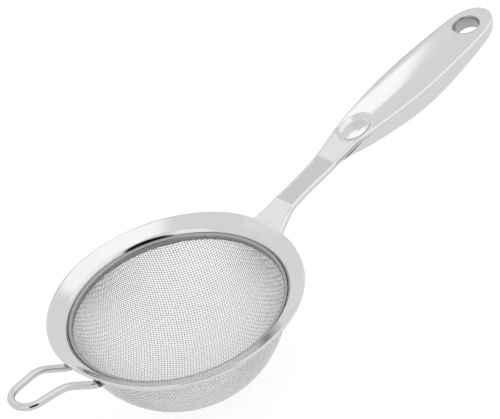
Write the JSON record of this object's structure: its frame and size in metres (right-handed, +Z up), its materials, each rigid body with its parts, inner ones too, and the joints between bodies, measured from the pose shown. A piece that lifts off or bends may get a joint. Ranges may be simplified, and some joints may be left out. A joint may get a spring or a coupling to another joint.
{
  "type": "tea strainer",
  "caption": "Woven wire strainer bowl in a wide dished rim, with a hollow steel handle on one side and a bent wire rest loop on the other.",
  "frame": {"origin": "centre of the rim's circle, level with the rim's outer top edge", "axes": "+X along the handle away from the bowl, +Z up out of the bowl's mouth, +Y across"},
  "size_m": [0.219, 0.084, 0.0526],
  "materials": {
    "polished_steel": "polished stainless steel",
    "satin_band": "dark satin stainless steel",
    "woven_wire": "bright woven stainless wire",
    "bright_wire": "polished stainless wire",
    "weld_steel": "brushed weld bead"
  },
  "bodies": {
    "root": {"rim_flange": "polished_steel", "mesh_retaining_band": "satin_band", "mesh_bowl": "woven_wire", "rest_loop": "bright_wire", "loop_weld_left": "weld_steel", "loop_weld_right": "weld_steel", "handle_top_shell": "polished_steel", "handle_lower_shell": "polished_steel", "hang_hole_sleeve": "polished_steel", "neck_weld": "weld_steel"}
  },
  "joints": []
}
